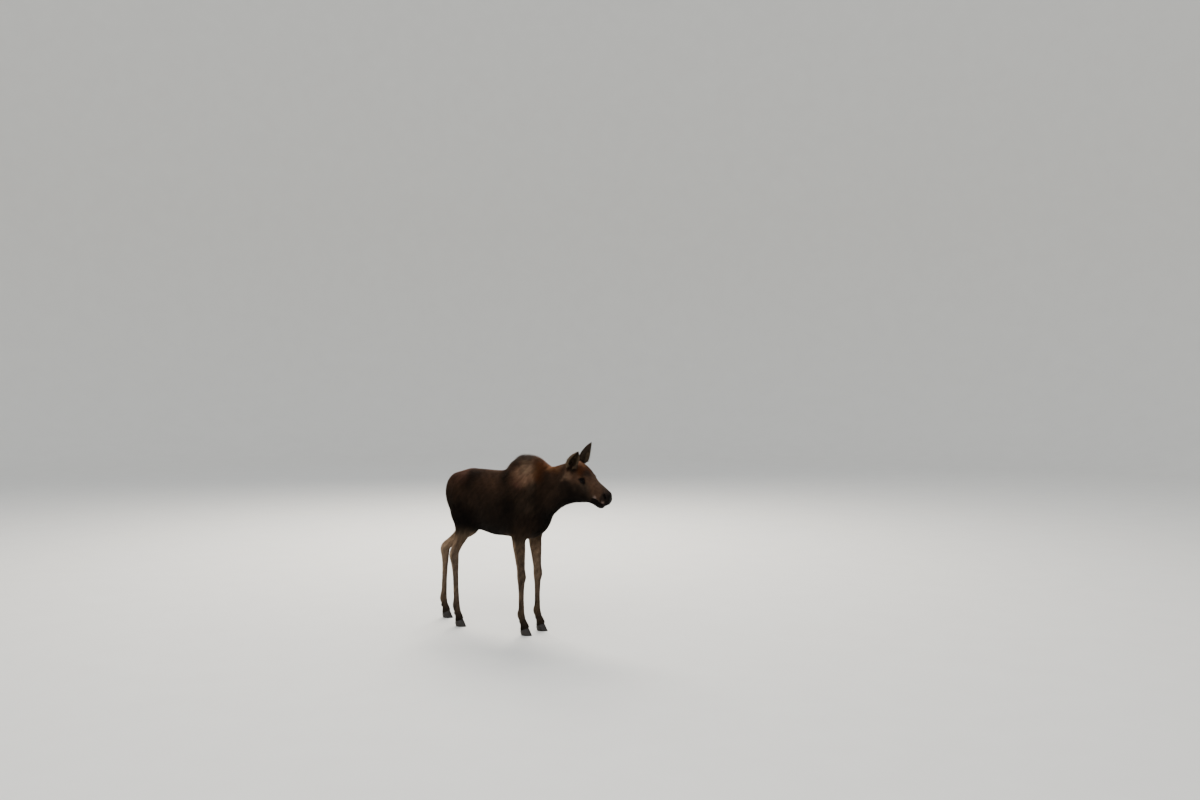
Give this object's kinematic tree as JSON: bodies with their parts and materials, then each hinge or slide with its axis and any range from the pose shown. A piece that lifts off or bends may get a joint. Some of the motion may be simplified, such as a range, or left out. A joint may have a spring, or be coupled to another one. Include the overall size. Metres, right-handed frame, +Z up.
{
  "type": "moose calf",
  "caption": "Life-size museum model of a standing moose calf with a humped shoulder, long legs, pricked leaf-shaped ears, an overhanging muzzle and cloven hooves.",
  "frame": {"origin": "on the floor under the middle of the animal's box", "axes": "+X the way the calf faces, +Y to its left side, +Z up"},
  "size_m": [1.6574, 0.3462, 1.4694],
  "materials": {
    "coat_dark": "dense dark brown winter hair, matt",
    "coat_face": "short brown hair, matt",
    "coat_leg": "short grey-brown hair, matt",
    "horn": "dark horn with a dull sheen",
    "eye": "dark brown, wet and glossy"
  },
  "bodies": {
    "root": {"trunk": "coat_dark", "neck": "coat_dark", "head": "coat_face", "lower_jaw": "coat_face", "tail": "coat_dark", "ear_right": "coat_face", "ear_left": "coat_face", "eye_right": "eye", "eye_left": "eye", "foreleg_right_upper": "coat_leg", "foreleg_right_lower": "coat_leg", "claw_fore_right_right": "horn", "dewclaw_fore_right_right": "horn", "claw_fore_right_left": "horn", "dewclaw_fore_right_left": "horn", "foreleg_left_upper": "coat_leg", "foreleg_left_lower": "coat_leg", "claw_fore_left_right": "horn", "dewclaw_fore_left_right": "horn", "claw_fore_left_left": "horn", "dewclaw_fore_left_left": "horn", "hindleg_right_upper": "coat_leg", "hindleg_right_lower": "coat_leg", "claw_hind_right_right": "horn", "dewclaw_hind_right_right": "horn", "claw_hind_right_left": "horn", "dewclaw_hind_right_left": "horn", "hindleg_left_upper": "coat_leg", "hindleg_left_lower": "coat_leg", "claw_hind_left_right": "horn", "dewclaw_hind_left_right": "horn", "claw_hind_left_left": "horn", "dewclaw_hind_left_left": "horn"}
  },
  "joints": []
}
